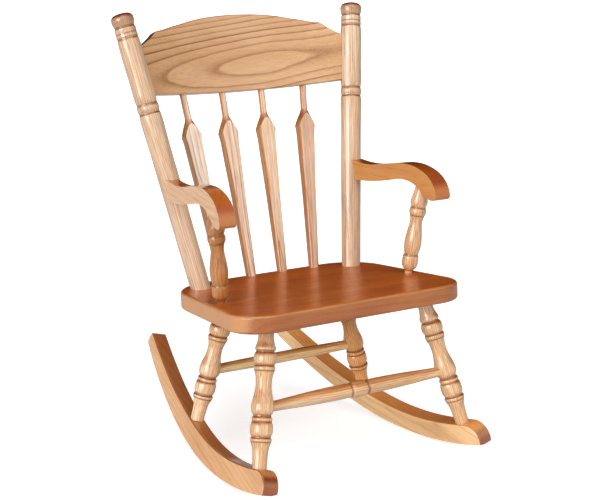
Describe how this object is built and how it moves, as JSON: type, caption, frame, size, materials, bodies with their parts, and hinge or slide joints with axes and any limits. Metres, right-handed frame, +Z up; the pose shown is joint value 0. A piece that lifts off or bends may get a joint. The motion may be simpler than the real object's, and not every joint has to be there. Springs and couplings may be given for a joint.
{
  "type": "rocking chair",
  "caption": "Small wooden rocking chair with a rounded plank seat, turned splayed legs on curved rockers, arrow-shaped back spindles, a bent crest rail between turned posts and scrolled arms.",
  "frame": {"origin": "on the floor, in the middle between the rockers, under the centre of the chair's bounding box", "axes": "+Z up, the chair faces -Y, +X to the chair's left as the sitter sits in it"},
  "size_m": [0.4702, 0.5284, 0.6974],
  "materials": {
    "seat_wood": "gloss varnish",
    "crest_wood": "gloss varnish",
    "turned_wood": "gloss varnish",
    "rocker_wood": "gloss varnish",
    "arm_wood": "gloss varnish"
  },
  "bodies": {
    "root": {"arm_dowel_left": "turned_wood", "arm_dowel_right": "turned_wood", "arm_left": "arm_wood", "arm_post_left": "turned_wood", "arm_post_right": "turned_wood", "arm_right": "arm_wood", "back_post_left": "turned_wood", "back_post_right": "turned_wood", "crest_rail": "crest_wood", "leg_front_left": "turned_wood", "leg_front_right": "turned_wood", "leg_rear_left": "turned_wood", "leg_rear_right": "turned_wood", "rocker_left": "rocker_wood", "rocker_right": "rocker_wood", "seat": "seat_wood", "spindle_inner_left": "turned_wood", "spindle_inner_right": "turned_wood", "spindle_outer_left": "turned_wood", "spindle_outer_right": "turned_wood", "stretcher_front": "turned_wood", "stretcher_rear": "turned_wood"}
  },
  "joints": []
}
